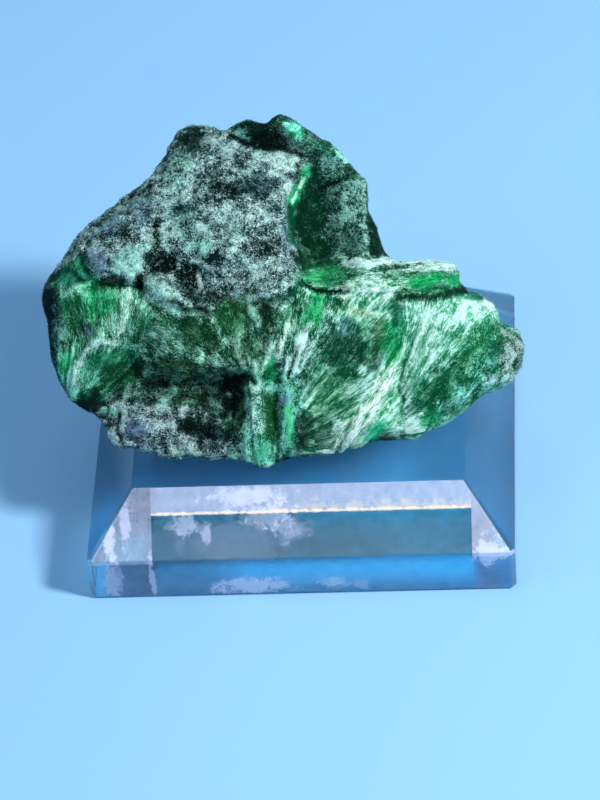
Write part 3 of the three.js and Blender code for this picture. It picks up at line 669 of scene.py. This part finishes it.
# Spots and streaks of colour on the show face. A spot is a place (u, v), its two half widths and its
# turn in degrees. A streak is a line and its half width. Then come the new share of the pale colour
# and, where they change too, the pale colour, the deep one and the silk.
BLACK, INK = (4, 16, 15), (8, 28, 34)
# Some spots and streaks below are painted light, not the stone's own colour: painted glints, sheen,
# highlights and shadows, each marked where it stands.
spots = [
    # The crusted slope and its knobs.
    (-19.2, 61, 2.6, 2.8, 0, 0.2, (48, 90, 78), (4, 26, 22)),
    (-13.8, 60.4, 2.8, 2.5, 0, 0.56, (150, 184, 182)),
    (-21.8, 54, 1.7, 4.8, -20, 0.62, (156, 214, 202)),
    (-25.4, 44.1, 0.7, 2.9, 0, 0.18, None, BLACK),
    (-13.4, 51.8, 3, 1.2, 10, 0.24, None, BLACK),
    (-6.7, 53.1, 2.9, 2.7, 0, 0.34, (104, 140, 142), (5, 24, 28)),
    (-6.3, 41.7, 2.4, 2.3, 0, 0.24, None, BLACK),
    (-2.9, 41.3, 1.2, 1.9, 0, 0.3, None, BLACK),
    (-23.9, 38.8, 2.8, 1.7, 8, 0.12, None, BLACK),
    (-13.4, 42.8, 4.6, 2.8, 20, 0.7, (186, 222, 214)),
    (-19.1, 37, 2.3, 1.7, -30, 0.15, None, BLACK),
    # A painted glint on the crust.
    (-17.4, 36.3, 0.4, 1.5, 14, 0.9, (232, 222, 220), (160, 166, 166), 0.0),
    (-35, 44.1, 0.9, 0.9, 0, 0.2, None, BLACK),
    (-27.6, 48.6, 2.6, 2.6, 0, 0.6, (120, 152, 178)),
    (-33, 46, 3, 2, 40, 0.46, (112, 148, 168)),
    (-1.6, 57.4, 3, 1.9, 0, 0.72, (176, 208, 202)),
    (-1, 57, 1.4, 1.3, 0, 0.84, (193, 232, 224)),
    (-1.6, 44.3, 1.1, 4.4, 0, 0.64, (128, 160, 180)),
    (-17.6, 42.3, 2.8, 1.8, 0, 0.66, (150, 214, 198)),
    (-14.1, 45.9, 3.6, 2.4, 0, 0.62, (170, 206, 200)),
    (-20, 47.5, 3, 2.5, 0, 0.54, (133, 186, 178)),
    (-30.2, 39.2, 3.2, 2.4, 10, 0.76, (164, 226, 210), (60, 120, 108)),
    (-35.3, 39.8, 2.2, 1.9, 20, 0.55, (128, 146, 172), (24, 44, 56)),
    # A painted shadow under the overhang of the upper lump.
    (-33.6, 36, 3, 0.7, 4, 0.15, (48, 70, 80), BLACK),
    (-24.2, 33.7, 3.8, 2, -38, 0.7, (158, 208, 198), (40, 84, 78)),
    (-28.1, 35.6, 0.8, 1.1, 0, 0.05, None, BLACK),
    (-10.2, 37.4, 4.2, 2.4, 0, 0.62, (170, 202, 198)),
    (-14.6, 40, 2, 1.4, 0, 0.3, None, INK),
    (-10.2, 33.8, 0.9, 0.7, 0, 0.85, (120, 160, 200)),
    (-8.4, 32.2, 1.7, 1.9, 0, 0.6, (158, 198, 184), (20, 60, 52)),
    (-16.3, 32.8, 3.9, 1.2, -8, 0.3, (88, 130, 120), BLACK),
    (-22.5, 31.6, 2.4, 1.1, -20, 0.56, (112, 152, 158)),
    # The left fan, its crest and the side beyond it.
    # Painted shade on the left side, which faces away from the key light.
    (-44.6, 30, 1.1, 5.3, 0, 0.2, (16, 46, 42), (6, 22, 26)),
    (-35.6, 31.6, 4.2, 3.6, 4, 0.44, (84, 214, 150), (3, 98, 52)),
    # A painted glint on the left fan's silk.
    (-30.4, 31.2, 0.9, 3.6, -6, 0.68, (206, 250, 238), (20, 112, 72)),
    (-40, 31.6, 2, 2, 0, 0.34, (40, 150, 96), (3, 66, 38)),
    (-39.8, 28.4, 1.8, 2.6, 10, 0.38, (76, 150, 96), (4, 56, 26), 0.5),
    (-41.8, 26, 1.3, 2.6, 10, 0.55, (120, 186, 168), (24, 66, 53)),
    (-37, 27, 1.6, 1.5, 0, 0.45, (88, 130, 150), (16, 50, 46)),
    (-41, 21.2, 1.4, 2.2, 0, 0.48, (66, 208, 146), (5, 112, 62)),
    # A painted glint at the tip of the left crest.
    (-40.2, 18.6, 0.6, 1.4, 0, 0.75, (170, 252, 236), (40, 180, 140)),
    (-39.8, 16.2, 1.1, 1, 0, 0.7, (128, 230, 206)),
    (-34.6, 21.6, 3, 1.9, 20, 0.44, (74, 160, 134), (4, 84, 56)),
    (-31.4, 19, 4.4, 2.2, 18, 0.32, (44, 128, 84), (3, 52, 30)),
    (-37.2, 13.6, 2.4, 2.4, 0, 0.15, (16, 40, 46), (8, 22, 28), 0.0),
    # The velvet centre and the dark recess.
    (-24.6, 26.6, 4, 3.2, 10, 0.5, (150, 200, 176), (10, 66, 40)),
    (-27.5, 28.5, 2, 2, 0, 0.46, (88, 170, 138), (10, 66, 53)),
    (-17.5, 27, 3.6, 2.2, -20, 0.36, (74, 130, 88), (6, 46, 26)),
    (-11.4, 29.4, 3.4, 3, -20, 0.42, (84, 148, 94), (6, 56, 26)),
    (-5.2, 29.4, 2, 2.4, 0, 0.36, (94, 128, 98), (8, 28, 18)),
    (-10.1, 24, 3.2, 2, 10, 0.48, (138, 188, 154), (8, 44, 26)),
    (-4.8, 25.2, 1.6, 1.4, 0, 0.52, (136, 166, 158)),
    (-20.8, 20.8, 5, 1.5, -8, 0.36, (64, 132, 78), (4, 36, 18)),
    (-19.6, 19.4, 6, 1, 0, 0.42, (112, 164, 100), (8, 28, 10)),
    (-19.1, 15.7, 8, 2.2, -4, 0.4, (96, 150, 122), (5, 24, 17)),
    # Painted shadow in the notch under the velvet centre.
    (-10.2, 18.6, 2.6, 0.8, 4, 0.03, (8, 20, 16), (2, 8, 7)),
    (-22.3, 16.3, 1.3, 0.9, 20, 0.6, (112, 180, 156)),
    (-19.6, 17, 1.4, 0.8, -20, 0.55, (112, 180, 156)),
    (-23.9, 14.5, 0.7, 0.7, 0, 0.7, (120, 190, 170)),
    (-12.3, 11, 0.55, 0.5, 0, 0.95, (120, 226, 184), (64, 180, 144)),
    # The lower lip.
    (-28.8, 9.5, 2, 2.2, 0, 0.5, (102, 130, 166), (19, 30, 44)),
    (-33, 12.6, 2.2, 0.8, -6, 0.78, (125, 204, 182)),
    (-19.9, 6, 2.8, 1.2, 0, 0.68, (176, 206, 196)),
    (-16.4, 9.3, 4.2, 2, -20, 0.26, (67, 108, 92), BLACK),
    (-10.2, 5, 2.2, 1.9, 0, 0.66, (131, 196, 178)),
    (-6.3, 5.8, 1.4, 2, 10, 0.6, (74, 170, 136), (27, 110, 88)),
    (-5.2, 2.4, 1.2, 0.8, 0, 0.8, (193, 208, 210)),
    (-2, 4, 1.8, 0.9, 0, 0.3, (56, 90, 96), INK),
    # The pillar and the flutes.
    (-7.4, 13.8, 1.9, 5.2, -3, 0.54, (166, 212, 198), (26, 90, 68), 0.0),
    # Painted shade: two dark spots on the pit's wall beside the pillar.
    (-12.4, 13.8, 1.1, 3.4, 0, 0.22, (60, 108, 88), (4, 16, 12)),
    (-10.7, 13.6, 1.3, 4.2, 0, 0.26, (52, 100, 78), (3, 16, 12)),
    (-4.4, 11.6, 1.3, 4, 0, 0.42, (84, 144, 90), (12, 62, 32)),
    (-2.2, 15, 1, 0.9, 0, 0.54, (116, 150, 184), (18, 56, 62)),
    (-1.4, 10.4, 0.7, 3.2, 0, 0.6, (84, 206, 144), (20, 134, 80)),
    # The fan ridge and the bowl.
    (-2.4, 29.3, 1.5, 4.4, 24, 0.54, (178, 222, 206), (14, 86, 54)),
    (2.9, 31, 1.6, 4, -16, 0.44, (60, 206, 130), (4, 100, 56)),
    (0.6, 23.5, 1.4, 3.6, -18, 0.56, (203, 244, 234)),
    (-5, 20, 1.5, 1.9, -30, 0.5, (70, 206, 138), (4, 104, 56), 0.9),
    (8.2, 23.4, 4, 4.6, -25, 0.36, (104, 160, 142), (5, 48, 32)),
    (8.4, 28.2, 1.2, 1.8, -20, 0.52, (112, 160, 176)),
    (8.6, 34, 1.4, 1.6, -10, 0.66, (180, 212, 186)),
    (14.6, 24.8, 1.7, 4.4, -10, 0.38, (104, 140, 104), (22, 62, 36)),
    (5.8, 14.6, 4.2, 3.2, -20, 0.46, (150, 210, 178), (10, 78, 48)),
    (1.2, 8.7, 2, 4, 0, 0.3, (53, 92, 80), (8, 28, 26)),
    (5, 8.2, 3.4, 3.4, -20, 0.42, (104, 152, 130), (12, 58, 40)),
    (14.2, 9.3, 2.7, 1.3, 35, 0.55, (48, 200, 160), (11, 140, 112)),
    (10.6, 4.8, 2.4, 0.9, 25, 0.78, (134, 240, 214)),
    (15.5, 8, 1.2, 1.1, 0, 0.4, (96, 104, 83), (29, 34, 27)),
    # The hem, the right lobe and its foot.
    (16.8, 24.6, 2.1, 4.8, -8, 0.43, (70, 206, 140), (5, 106, 60)),
    (14, 21.5, 1.2, 2, -30, 0.55, (141, 176, 178)),
    (18.1, 15.4, 0.6, 3.6, 0, 0.8, (136, 244, 226)),
    (22.4, 24.6, 2.6, 5.4, -32, 0.6, (205, 242, 232), (30, 124, 92)),
    (30.5, 31, 2.8, 2.4, -40, 0.72, (203, 236, 228), (56, 150, 120)),
    (34.4, 32.2, 1.9, 1.5, 0, 0.68, (214, 232, 226), (40, 110, 84), 0.5),
    (31.4, 24.6, 4.4, 2.7, 35, 0.42, (150, 214, 180), (10, 92, 50), 0.45),
    (27.6, 21, 1.4, 1.1, 0, 0.66, (193, 226, 220)),
    (34.1, 18.6, 1.5, 0.9, 20, 0.62, (185, 216, 216), None, 0.2),
    (24.8, 17, 5, 2.4, 40, 0.35, (96, 170, 130), (5, 66, 38), 0.6),
    (35, 22.5, 2, 2.6, 0, 0.42, (70, 150, 118), (10, 74, 54), 0.2),
    (23.8, 11.6, 2, 1.2, 30, 0.42, (70, 196, 136), (8, 96, 60)),
    (19.6, 10.8, 1.5, 1.9, -20, 0.72, (202, 234, 228)),
    (38.4, 22.8, 2.4, 4.6, -12, 0.46, (150, 176, 166), (12, 50, 38), 0.2),
    (37.6, 18, 1.5, 1.2, 0, 0.62, (152, 214, 200), None, 0.2),
    (31.8, 33.6, 2, 0.9, 0, 0.4, (56, 170, 136), (16, 70, 56)),
    (34, 34.6, 1.4, 0.6, 0, 0.3, (48, 54, 43), (19, 26, 21)),
    # The shelf.
    # A painted highlight along the top of the shelf.
    (24.5, 38.2, 4.4, 0.6, 2, 0.82, (209, 226, 224)),
    (23.6, 35.9, 5, 1.5, 4, 0.48, (34, 196, 118), (5, 120, 64)),
    (28.4, 36.3, 1.2, 1.2, 0, 0.46, (34, 190, 110), (6, 122, 66)),
    (3.8, 36.8, 4.2, 1.7, 8, 0.44, (64, 184, 118), (8, 102, 54)),
    (14.8, 34.4, 4, 2.4, -4, 0.62, (214, 246, 238), (22, 110, 74)),
    (11.6, 30.4, 3, 0.9, -10, 0.6, (194, 212, 180), (30, 94, 60)),
    (17.5, 30, 1.2, 2, 0, 0.36, (48, 150, 120), (6, 80, 64)),
    # The velvet hollow and the top.
    (5, 47.5, 1, 0.8, 0, 0.72, (206, 240, 230)),
    (9.6, 49.6, 2.4, 4.4, 0, 0.56, (142, 198, 182), (8, 50, 40)),
    (2.6, 49, 3, 7.6, -6, 0.34, (46, 112, 86), (3, 36, 25)),
    (3.6, 42, 3, 2.6, 0, 0.32, (36, 98, 70), (4, 34, 22)),
    (-8.6, 63.8, 1.8, 1.2, 0, 0.34, (46, 92, 72), (4, 26, 20)),
    # A painted glint on the knob's facet that faces the key light.
    (-0.7, 63.5, 2.3, 1.0, -38, 0.58, (140, 255, 228), (4, 120, 84), 0.6),
    # Painted shadow in the gap beside the knob.
    (-6.2, 61.6, 3, 1.5, 0, 0.05, (11, 28, 23), (2, 9, 8)),
    (5.4, 60, 2.6, 1.2, -25, 0.42, (80, 176, 146), (6, 60, 46)),
    (8.2, 42.8, 1.4, 2.2, 0, 0.56, (132, 192, 168), (8, 54, 40)),
    (14.4, 43.4, 2.2, 3.4, 0, 0.16, (20, 72, 58), (3, 26, 21)),
]
streaks = [
    ([(-35.6, 36.4), (-41.7, 33.2)], 0.3, 0.7, (96, 220, 176)),
    # Painted glints: the white streaks down the left fan and along its crest.
    ([(-30.2, 30.7), (-32, 26.3), (-33.5, 24)], 0.7, 0.62, (214, 250, 240)),
    (
        [(-40.2, 17), (-39.4, 20.3), (-38.1, 22.6), (-36.3, 24.2), (-34.2, 25.1), (-31.8, 25.6)], 0.8,
        0.6, (194, 228, 220),
    ),
    ([(-42.2, 35.4), (-41.7, 33.1), (-38.5, 34.8)], 0.25, 0.7, (140, 196, 178)),
    # Painted sheen: the pale streaks along the fan ridge, the hem and the right lobe stand for the silk's
    # bright reflections.
    ([(-2, 20.5), (0.2, 24), (2.2, 28)], 0.5, 0.62, (209, 238, 236)),
    ([(-3.4, 21.5), (-2.8, 25), (-1.6, 28)], 0.4, 0.66, (214, 246, 236)),
    ([(-6.2, 19.4), (-5.4, 22), (-4, 25)], 0.3, 0.7, (190, 246, 222)),
    ([(16.4, 19.4), (13.8, 15), (9.2, 9.4), (6.5, 5.4)], 1.8, 0.56, (236, 244, 240), (16, 116, 74)),
    ([(18.6, 12), (19.4, 20), (22, 28), (24, 32)], 1.2, 0.58, (196, 240, 226)),
    ([(21, 7.6), (27, 10.8), (32, 13.6), (38, 16.6)], 0.5, 0.7, (128, 236, 206)),
    # A painted highlight along the shelf's top.
    ([(9, 39.2), (18, 39.8), (27.5, 39.2)], 0.8, 0.74, (200, 236, 228)),
    # Painted shadow: the dark lines under the shelf.
    ([(0.3, 35.5), (3.2, 34.4), (5.8, 33.9), (7.6, 34.1)], 0.28, 0.12, (24, 66, 50), BLACK),
    ([(18, 33.2), (21.8, 32.8), (26.3, 33.5), (30.8, 35)], 0.7, 0.22, (40, 110, 74), (4, 36, 22)),
    ([(36.4, 27.4), (39.5, 24.4), (39.4, 20.6), (37.5, 17.3)], 0.35, 0.6, (176, 194, 186), (36, 66, 56)),
    ([(9, 58.4), (12, 54.6)], 0.5, 0.55, (112, 190, 164)),
    ([(11.6, 54), (12.1, 50.6), (11.9, 46.6), (12.5, 42.8)], 0.4, 0.58, (150, 200, 186)),
    # Painted shadow along the foot of the top knobs.
    ([(-12, 62), (-7, 60.2), (-3.4, 60.3), (0.5, 58.8)], 0.5, 0.08, (13, 30, 26), (2, 10, 8)),
    ([(-9.5, 47.6), (-5, 49.9), (-1.8, 52.2)], 0.9, 0.62, (188, 216, 210)),
    ([(-0.4, 51.4), (-1.2, 48), (-1, 43)], 0.7, 0.36, (26, 130, 86), (3, 62, 38)),
    # The hollow's left wall: green of its own, painted brighter as a painted highlight where it faces the key
    # light.
    ([(1.9, 56), (0.4, 53.4), (-1, 50.4)], 0.8, 0.46, (44, 200, 132), (5, 104, 60)),
    # Two painted glints on that wall.
    ([(1.1, 54.5), (0.2, 52.9)], 0.3, 0.92, (210, 246, 236), (90, 190, 150)),
    ([(-0.2, 52), (-1, 50.2)], 0.24, 0.88, (190, 246, 226), (80, 180, 140)),
    ([(6.4, 60.4), (8.6, 57.8)], 0.5, 0.8, (158, 232, 218)),
    ([(3.8, 53), (5.9, 53.7), (8.6, 54.6)], 0.35, 0.22, (50, 104, 84), BLACK),
]


def dab(mask, new_share, new_pale=None, new_deep=None, new_silk=None):
    """Lays a spot or a streak over the stone, as strong as the mask."""
    share[:] = laid(share, new_share, mask)
    if new_pale:
        pale[:] = laid(pale, pigment(new_pale), mask[:, None])
    if new_deep:
        deep[:] = laid(deep, pigment(new_deep), mask[:, None])
    if new_silk is not None:
        silk[:] = laid(silk, new_silk, mask)


u, v, w = face_place(points).T
spot_strength, spot_fade = 0.95, (1.5, 0.6)
streak_strength, streak_fade = 0.9, (1.6, 0.5)
ragged = 0.4 * noise(points, 1.9, 31) + 0.36 * noise(points, 0.9, 32) + 0.26 * noise(points, 0.5, 35)
for spot_u, spot_v, half_u, half_v, turn, *change in spots:
    turn = math.radians(turn)
    du, dv = u - spot_u, v - spot_v
    along = (du * math.cos(turn) + dv * math.sin(turn)) / half_u
    aside = (dv * math.cos(turn) - du * math.sin(turn)) / half_v
    dab(ramp(np.hypot(along, aside) + ragged, *spot_fade) * front * spot_strength, *change)
for line, half, *change in streaks:
    dab(ramp(line_distance(line, u, v) / half + ragged, *streak_fade) * front * streak_strength, *change)

# Painted light and shade: crests get more of the pale colour, as a painted highlight, and hollows less,
# and the hollows are darkened as well, as painted shade.
share_limits = (0.02, 0.97)
painted_pit_shade = 0.55
patchy = 0.16 * noise(points, 3.2, 33) + 0.24 * noise(points, 1.7, 34) + 0.22 * noise(points, 0.9, 36)
share = share + patchy * (1 - 0.5 * silk) + np.clip(relief_mm, -0.3, 0.2) * (0.7 + 0.3 * silk)
share = np.clip(share, *share_limits)
# Painted shade: both colours are darkened in the hollows.
painted_pit_darkening = 1 - painted_pit_shade * ramp(-relief_mm, 0.05, 0.4)
pale = pale * painted_pit_darkening[:, None]
deep = deep * painted_pit_darkening[:, None]
# Silk is greenest between its pale and its deep threads.
middle = np.sqrt(pale * deep) * (1 + silk[:, None] * np.array([-0.4, 0.15, -0.2]))


def keep(name, kind, values):
    """Stores values at the stone's points for its material to read."""
    field = {"FLOAT": "value", "FLOAT_VECTOR": "vector", "FLOAT_COLOR": "color"}[kind]
    places = stone_mesh.attributes.new(name, kind, "POINT").data
    places.foreach_set(field, values.astype(np.float32).ravel())


for name, tones in (("pale", pale), ("middle", middle), ("deep", deep)):
    keep(name, "FLOAT_COLOR", np.hstack([tones, np.ones((count, 1))]))
keep("share", "FLOAT", share)
keep("silk", "FLOAT", silk)
keep("fibre", "FLOAT_VECTOR", fibre)
stone_mesh.polygons.foreach_set("use_smooth", [True] * len(stone_mesh.polygons))

silky = Finish("silky_malachite")


def stored(name, output):
    """A value kept at the mesh's points: its colour, vector or number by the output's place."""
    return silky.node("Attribute", {"attribute_name": name}, {}, output=output)


felt = silky.node("TexNoise", {}, {
    "Vector": silky.place(), "Scale": 2600.0, "Detail": 2.0, "Roughness": 0.7, "Distortion": 1.2,
})
strands_per_mm = (4.6, 0.62, 1.0)
drawn_out = silky.node("VectorMath", {"operation": "MULTIPLY"}, {0: stored("fibre", 1), 1: strands_per_mm})
strands = silky.node("TexNoise", {}, {
    "Vector": drawn_out, "Scale": 1.0, "Detail": 3.0, "Roughness": 0.75, "Distortion": 1.1,
})
silk_share = stored("silk", 2)
most_strands = 0.8
fleck_contrast = 7.2
pale_pull = 0.44
strand_share = silk_share * most_strands
fleck = felt * (1 - strand_share) + strands * strand_share
cover = ((fleck - 0.5 + (stored("share", 2) - 0.5) * pale_pull) * fleck_contrast + 0.5).limited()
lower_tone = (cover * 2).limited().between(stored("deep", 0), stored("middle", 0))
tone = (cover * 2 - 1).limited().between(lower_tone, stored("pale", 0))
relief = silky.node("Bump", {}, {"Height": cover, "Strength": 0.7, "Distance": 0.12 * MM})
felt_dullness, silk_gloss = 0.82, 0.4
dullness = felt_dullness - silk_share * silk_gloss + felt * 0.1
stone_surface = silky.node("BsdfPrincipled", {}, {
    "Base Color": tone,
    "Roughness": dullness,
    "IOR": 1.65,
    "Specular IOR Level": 0.03,
    "Specular Tint": (0.5, 1.0, 0.86, 1.0),
    "Normal": relief,
})
silky.node("OutputMaterial", {}, {"Surface": stone_surface})
stone_mesh.materials.append(silky.material)

stone = add_piece("malachite_stone", stone_mesh, ["malachite"])

# The needles and the felt: loose fibres of the same malachite, standing out of the broken surface.
# Silky ones lie along the sprays, and short ones tangle over the crust and the velvet.
needle_finishes = [
    ("white", (230, 246, 242)), ("ice", (192, 236, 224)), ("mist", (166, 202, 198)),
    ("mint", (134, 212, 186)), ("pale_teal", (118, 178, 164)), ("grey_teal", (92, 138, 134)),
    ("slate", (62, 96, 104)), ("lilac", (112, 126, 154)), ("turquoise", (76, 228, 182)),
    ("sea", (64, 164, 124)), ("bright", (34, 168, 104)), ("emerald", (10, 124, 70)),
    ("leaf", (26, 96, 60)), ("dark_green", (8, 62, 38)), ("night_green", (4, 38, 26)),
    ("olive", (62, 108, 62)), ("moss", (40, 68, 44)), ("ink", (9, 34, 38)),
    ("black_green", (4, 18, 15)), ("brown", (74, 72, 58)),
]
needle_materials = []
for name, shade in needle_finishes:
    needle = Finish("needle_" + name)
    gleam = needle.node("BsdfPrincipled", {}, {
        "Base Color": colour(*shade),
        "Roughness": 0.42,
        "IOR": 1.65,
        "Specular IOR Level": 0.12,
        "Specular Tint": (0.6, 1.0, 0.88, 1.0),
    })
    needle.node("OutputMaterial", {}, {"Surface": gleam})
    needle_materials.append(needle.material)
# Shades are compared as the eye sees them.
eye_gamma = 1 / 2.2
needle_shades = np.array([pigment(shade) for _, shade in needle_finishes]) ** eye_gamma

stone_mesh.calc_loop_triangles()
corners = read(stone_mesh.loop_triangles, "vertices", np.int32, 3)
sides = points[corners]
areas = np.linalg.norm(np.cross(sides[:, 1] - sides[:, 0], sides[:, 2] - sides[:, 0]), axis=1) / 2
normals = normals_at(points)

# A sliver is pointed at both ends and widest at its waist, and its first part is buried.
sliver = np.array([(0, 2, 1), (0, 1, 3), (0, 3, 2), (4, 1, 2), (4, 3, 1), (4, 2, 3)])
waist_place = 0.35
buried = 0.15
thickness = 0.6
# Neighbours share a shade in tufts or, where the fibre is combed, in strands of this width and length.
tuft_size = 0.32
strand_size = (0.24, 3)
brightness = (0.75, 1.25)
shade_spread = 0.5
stray_pull = 0.6


def strew(name, density, number, lengths, widths, lean, astray, seed):
    """Covers the stone with closed slivers, as a joined mesh: `number` of them, dense where told.

    Lengths and widths are ranges in mm, `lean` is how far the tips stand out, and `astray` is how
    far each turns out of the comb of its spray, from 0, in line, to 1, any way.
    """
    dice = np.random.default_rng(seed)
    chance = areas * density[corners].mean(axis=1)
    pick = dice.choice(len(corners), number, p=chance / chance.sum())
    weights = dice.dirichlet((1, 1, 1), number)[:, :, None]

    def at(values):
        """The mesh's values at the feet of the slivers."""
        return (values[corners[pick]] * weights).sum(axis=1)

    foot, out = at(points), at(normals)
    out /= np.linalg.norm(out, axis=1)[:, None]
    stray = dice.normal(size=(number, 3))
    combed = at(comb)
    held = np.minimum(np.linalg.norm(combed, axis=1), 1)[:, None] * (1 - astray)
    way = combed * held + stray * (1 - held) * stray_pull
    way -= out * (way * out).sum(axis=1)[:, None]
    way /= np.linalg.norm(way, axis=1)[:, None] + 1e-9
    way = way + out * dice.uniform(*lean, number)[:, None]
    way /= np.linalg.norm(way, axis=1)[:, None]
    aside = np.cross(way, out)
    aside /= np.linalg.norm(aside, axis=1)[:, None]
    long = dice.uniform(*lengths, number)[:, None]
    wide = dice.uniform(*widths, number)[:, None]
    waist = foot + way * long * waist_place
    verts = np.stack([
        foot - way * long * buried - out * wide,
        waist + aside * wide / 2,
        waist - aside * wide / 2,
        waist + np.cross(aside, way) * wide * thickness,
        foot + way * long * (1 - buried),
    ], axis=1)
    verts = np.clip(verts, box_low + box_margin, box_high - box_margin).reshape(-1, 3) * MM
    faces = (np.arange(number)[:, None, None] * 5 + sliver).reshape(-1, 3)
    tuft = laid(noise(foot, tuft_size, 82), noise(by_strand(at(fibre), *strand_size), 1, 81), held[:, 0])
    light = (at(share[:, None])[:, 0] - 0.5) * 2 + tuft + dice.normal(0, shade_spread, number) + 0.5
    rise, fall = np.clip(2 * light - 1, 0, 1)[:, None], np.clip(1 - 2 * light, 0, 1)[:, None]
    shade = at(pale) * rise + at(deep) * fall + at(middle) * (1 - rise - fall)
    shade *= dice.uniform(*brightness, number)[:, None]
    apart = ((shade[:, None] ** eye_gamma - needle_shades) ** 2).sum(axis=2)
    mesh = bpy.data.meshes.new(name)
    mesh.from_pydata(verts.tolist(), [], faces.tolist())
    for material in needle_materials:
        mesh.materials.append(material)
    mesh.polygons.foreach_set("material_index", np.repeat(apart.argmin(axis=1), len(sliver)))
    mesh.update()
    add_piece(name, mesh)


# The silk is parted left and right, and the felt into the pale crust and the darker velvet.
left_part = u < -20
crusty = share > 0.42
felted = np.clip(lump_height * 2, 0, 1) * (1 - silk)
silky_needle = (0.3, 1.2), (0.045, 0.09), (-0.02, 0.14)
strew("left_silk", silk * front * left_part, 19000, *silky_needle, 0.2, 71)
strew("right_silk", silk * front * ~left_part, 33000, *silky_needle, 0.2, 75)
strew("crust_needles", felted * front * crusty, 32000, (0.35, 0.8), (0.07, 0.13), (0.05, 0.6), 1.0, 72)
strew("velvet_needles", felted * front * ~crusty, 27000, (0.3, 0.8), (0.05, 0.1), (0.05, 0.6), 0.45, 73)
strew("back_felt", (1 - front) * (1 - silk), 12000, (0.4, 0.9), (0.1, 0.18), (0.05, 0.4), 1.0, 74)
strew("back_silk", (front < 0.02) * silk, 10000, (0.7, 1.8), (0.1, 0.18), (-0.02, 0.06), 0.06, 76)

# The stage: a plain pale sheet under the block and soft studio light. The key light stands high to
# the right, one hangs overhead and a broad fill stands to the left. The air gap under the block is a hair.
air_gap = 0.2 * MM
floor_half = 2.0

floor_mesh = bpy.data.meshes.new("floor")
floor_mesh.from_pydata(
    [(x * floor_half, y * floor_half, -air_gap) for x, y in ((-1, -1), (1, -1), (1, 1), (-1, 1))],
    [], [(0, 1, 2, 3)],
)
paper = Finish("pale_sheet")
sheet = paper.node("BsdfPrincipled", {}, {"Base Color": colour(142, 194, 236), "Roughness": 0.7})
paper.node("OutputMaterial", {}, {"Surface": sheet})
floor_mesh.materials.append(paper.material)
floor = put("floor", floor_mesh)

aim = Vector((0, 0, 30 * MM))


def add_light(name, way, distance, size, power, tint):
    """A square soft light that looks at the stone from the given direction."""
    lamp = bpy.data.lights.new(name, "AREA")
    lamp.size = size
    lamp.energy = power
    lamp.color = tint
    holder = put(name, lamp)
    way = Vector(way).normalized()
    holder.location = aim + way * distance
    holder.rotation_euler = way.to_track_quat("Z", "Y").to_euler()


add_light("key", (0.66, -0.26, 0.7), 0.8, 0.12, 8.2, (1.0, 0.98, 0.94))
add_light("top", (-0.07, 0.13, 1), 1.2, 0.6, 2.2, (0.88, 0.92, 1.0))
add_light("fill", (-0.8, -0.35, 0.55), 1.0, 0.7, 2.4, (0.86, 0.96, 0.98))

air_tint, air_strength = (0.42, 0.7, 1.0, 1.0), 0.3
air = bpy.data.worlds.new("studio")
air.use_nodes = True
glow = air.node_tree.nodes["Background"].inputs
glow["Color"].default_value = air_tint
glow["Strength"].default_value = air_strength
bpy.context.scene.world = air
bpy.context.scene.view_settings.view_transform = "Standard"

# The camera stands before the block and looks down at it, turned a little and tilted to the left.
# Its lens and its place give the view of the photo, with the same lean of the block's edges.
camera_height = math.radians(43.2208)
camera_turn = math.radians(-5.9642)
camera_tilt = math.radians(-5.6300)
camera_distance = 758.79 * MM
camera_aim = (-0.75 * MM, 11.21 * MM)
photo_height = 800
focal_pixels = 4119.63

camera = bpy.data.cameras.new("camera")
camera.sensor_width = 36.0
camera.lens = focal_pixels / photo_height * camera.sensor_width
camera.clip_start = 0.05
camera_stand = put("camera", camera)
look = looking(camera_turn, camera_height)
right = level_right(camera_turn)
upward = right.cross(look)
camera_stand.location = right * camera_aim[0] + upward * camera_aim[1] - look * camera_distance
tilted_right = right * math.cos(camera_tilt) + upward * math.sin(camera_tilt)
tilted_up = upward * math.cos(camera_tilt) - right * math.sin(camera_tilt)
camera_stand.rotation_euler = Matrix((tilted_right, tilted_up, -look)).transposed().to_euler()
bpy.context.scene.camera = camera_stand
